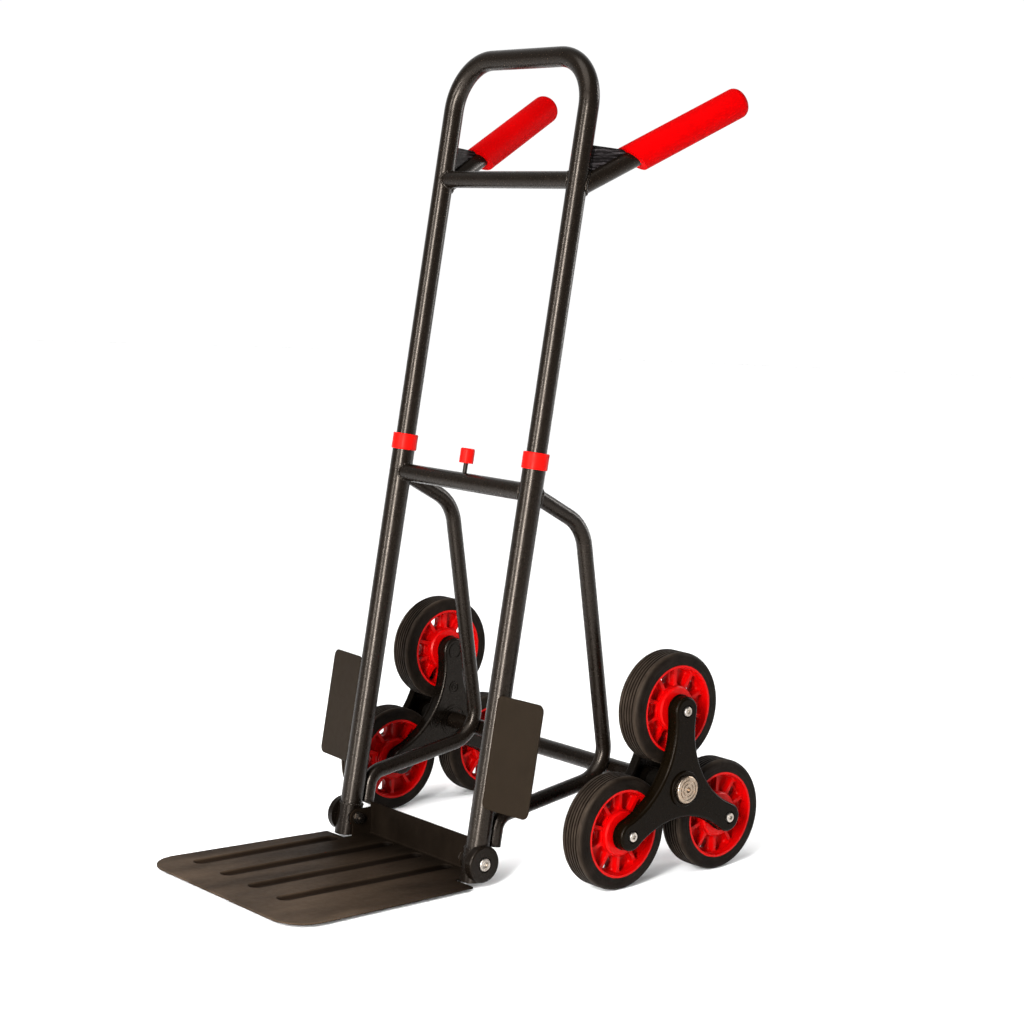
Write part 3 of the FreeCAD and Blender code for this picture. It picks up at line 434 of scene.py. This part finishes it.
def welds():
    low_bar, high_bar = middle("lower_crossbar"), middle("upper_crossbar")
    for side, sign in SIDES.items():
        outwards = Vector((sign, 0, 0))
        axis_point = on_upright(0, across=sign * HALF_SPACING)
        bead("weld_lower_crossbar_" + side, "lower_frame",
             saddle(axis_point, UP, UPRIGHT_R + BEAD_LIFT, low_bar, outwards, CROSSBAR_R),
             TUBE_BEAD, True)
        bead("weld_upper_crossbar_" + side, "upper_frame",
             saddle(axis_point, UP, UPPER_R + BEAD_LIFT, high_bar, outwards, UPPER_CROSSBAR_R),
             UPPER_BEAD, True)
        flat = math.cos(HANDLE_RISE)
        reach = (outwards * math.sin(HANDLE_SPLAY) * flat + BACK * math.cos(HANDLE_SPLAY) * flat
                 + UP * math.sin(HANDLE_RISE))
        handle_point = on_upright(HANDLE_S, across=sign * HALF_SPACING) + reach * HANDLE_START
        bead("weld_handle_" + side, "upper_frame",
             saddle(axis_point, UP, UPPER_R + BEAD_LIFT, handle_point, -reach, HANDLE_R),
             HANDLE_BEAD, True)
        shoulder = Vector((sign * HALF_SPACING, HINGE.y + REAR_SHOULDER_BACK, REAR_SHOULDER_RISE))
        top = on_upright(REAR_TOP_S, across=sign * HALF_SPACING)
        forwards = (top - shoulder).normalized()
        bead("weld_rear_frame_" + side, "lower_frame",
             saddle(axis_point, UP, UPRIGHT_R + BEAD_LIFT, shoulder, forwards, REAR_R),
             TUBE_BEAD, True)
        neck = on_upright(NECK_S, across=sign * HALF_SPACING)
        bead("weld_knuckle_" + side, "lower_frame", ring(neck, UP, UPRIGHT_R + BEAD_LIFT),
             KNUCKLE_BEAD, True)
        low, high = SIDE_PLATE_S
        across = sign * (HALF_SPACING + STITCH_ACROSS)
        for index, share in enumerate(SIDE_PLATE_STITCHES):
            start = low + (high - low) * share
            bead("weld_side_plate_%s_%d" % (side, index), "lower_frame",
                 straight(on_upright(start, STITCH_BACK, across),
                          on_upright(start + STITCH_LENGTH, STITCH_BACK, across)),
                 STITCH_BEAD, False)
        for index, offset in enumerate((-LEG_STITCH_ACROSS, LEG_STITCH_ACROSS)):
            across = sign * (HALF_SPACING + offset)
            bead("weld_leg_%s_%d" % (side, index), "lower_frame",
                 straight(on_upright(LEG_S[0], LEG_STITCH_BACK, across),
                          on_upright(LEG_S[1], LEG_STITCH_BACK, across)),
                 STITCH_BEAD, False)


# ---- studio ----------------------------------------------------------------------------
VIEW_AZIMUTH = math.radians(49.3)
VIEW_ELEVATION = math.radians(7.0)
VIEW_ROLL = math.radians(2.14)
VIEW_DISTANCE = 3.068
VIEW_TARGET = Vector((0.0, 0.046, 0.4893))
TARGET_SIDESTEP = 0.055
LENS = 76.9
LAMP_TARGET = Vector((0, 0, 0.55))
FLOOR_SIZE = 60
FLOOR_DROP = 0.0005         # keeps the floor off the undersides of the wheels
WALL_RADIUS = 14
WALL_HEIGHT = 30


def camera():
    flat = math.cos(VIEW_ELEVATION)
    back = Vector((math.sin(VIEW_AZIMUTH) * flat, -math.cos(VIEW_AZIMUTH) * flat,
                   math.sin(VIEW_ELEVATION)))
    right = Vector((math.cos(VIEW_AZIMUTH), math.sin(VIEW_AZIMUTH), 0))
    up = back.cross(right)
    target = VIEW_TARGET + right * TARGET_SIDESTEP
    rolled_right = right * math.cos(VIEW_ROLL) + up * math.sin(VIEW_ROLL)
    rolled_up = up * math.cos(VIEW_ROLL) - right * math.sin(VIEW_ROLL)
    data = bpy.data.cameras.new("view")
    data.lens = LENS
    data.sensor_width = 36.0
    data.clip_end = 60.0
    obj = bpy.data.objects.new("view", data)
    turn = Matrix((rolled_right, rolled_up, back)).transposed().to_4x4()
    obj.matrix_world = Matrix.Translation(target + back * VIEW_DISTANCE) @ turn
    bpy.context.scene.collection.objects.link(obj)
    bpy.context.scene.camera = obj


def lamp(name, kind, azimuth, elevation, distance, power, **settings):
    """A light seen from the trolley at that azimuth, measured like the camera's."""
    data = bpy.data.lights.new(name, kind)
    data.energy = power
    for key, value in settings.items():
        setattr(data, key, value)
    turn, lift = math.radians(azimuth), math.radians(elevation)
    flat = math.cos(lift)
    away = Vector((math.sin(turn) * flat, -math.cos(turn) * flat, math.sin(lift)))
    obj = bpy.data.objects.new(name, data)
    obj.location = LAMP_TARGET + away * distance
    obj.rotation_euler = (-away).to_track_quat("-Z", "Y").to_euler()
    bpy.context.scene.collection.objects.link(obj)


def surroundings():
    """Light from all round, bright behind the trolley and dim on the viewer's side."""
    world = bpy.data.worlds.new("studio")
    world.use_nodes = True
    tree = world.node_tree
    direction = tree.nodes.new("ShaderNodeTexCoord")
    away = tree.nodes.new("ShaderNodeVectorMath")
    away.operation = "DOT_PRODUCT"
    away.inputs[1].default_value = (-math.sin(VIEW_AZIMUTH), math.cos(VIEW_AZIMUTH), -0.25)
    fade = tree.nodes.new("ShaderNodeMapRange")
    fade.interpolation_type = "SMOOTHSTEP"
    for name, value in (("From Min", 0.1), ("From Max", 0.75), ("To Min", 0.3), ("To Max", 1.02)):
        fade.inputs[name].default_value = value
    tree.links.new(direction.outputs["Generated"], away.inputs[0])
    tree.links.new(away.outputs["Value"], fade.inputs["Value"])
    tree.links.new(fade.outputs["Result"], tree.nodes["Background"].inputs["Strength"])
    tree.nodes["Background"].inputs["Color"].default_value = (1.0, 1.0, 1.0, 1.0)
    bpy.context.scene.world = world


def backdrop():
    """A paper floor, and a round white wall that neither lights the trolley nor shows in it."""
    bpy.ops.mesh.primitive_plane_add(size=FLOOR_SIZE, location=(0, 0, -FLOOR_DROP))
    floor = bpy.context.object
    floor.name = "floor"
    paper = Look("floor_paper", 0.9, specular=0.02)
    paper.colour(paper.ramp(paper.noise(1.5),
                            [(0.3, (0.94, 0.94, 0.94)), (0.7, (0.95, 0.95, 0.95))]))
    floor.data.materials.append(paper.material)
    bpy.ops.mesh.primitive_cylinder_add(radius=WALL_RADIUS, depth=WALL_HEIGHT, vertices=96,
                                        end_fill_type="NOTHING")
    wall = bpy.context.object
    wall.name = "wall"
    white = Look("wall_paint", 1.0, specular=0.0)
    white.shader.inputs["Base Color"].default_value = (0, 0, 0, 1)
    white.shader.inputs["Emission Color"].default_value = (1, 1, 1, 1)
    white.shader.inputs["Emission Strength"].default_value = 1.02
    wall.data.materials.append(white.material)
    wall.visible_diffuse = wall.visible_glossy = wall.visible_shadow = False


def studio():
    surroundings()
    backdrop()
    bpy.context.scene.view_settings.view_transform = "Standard"
    lamp("sun", "SUN", 12, 56, 5.0, 2.6, angle=math.radians(50))
    lamp("strip_left", "AREA", 33, 6, 2.6, 240, shape="RECTANGLE", size=0.3, size_y=2.1)
    lamp("strip_far_left", "AREA", -4, 10, 2.6, 70, shape="RECTANGLE", size=0.2, size_y=1.9)
    lamp("strip_back", "AREA", 165, 14, 2.8, 34, shape="RECTANGLE", size=0.3, size_y=1.8)


paint_nodes()
welds()
camera()
studio()
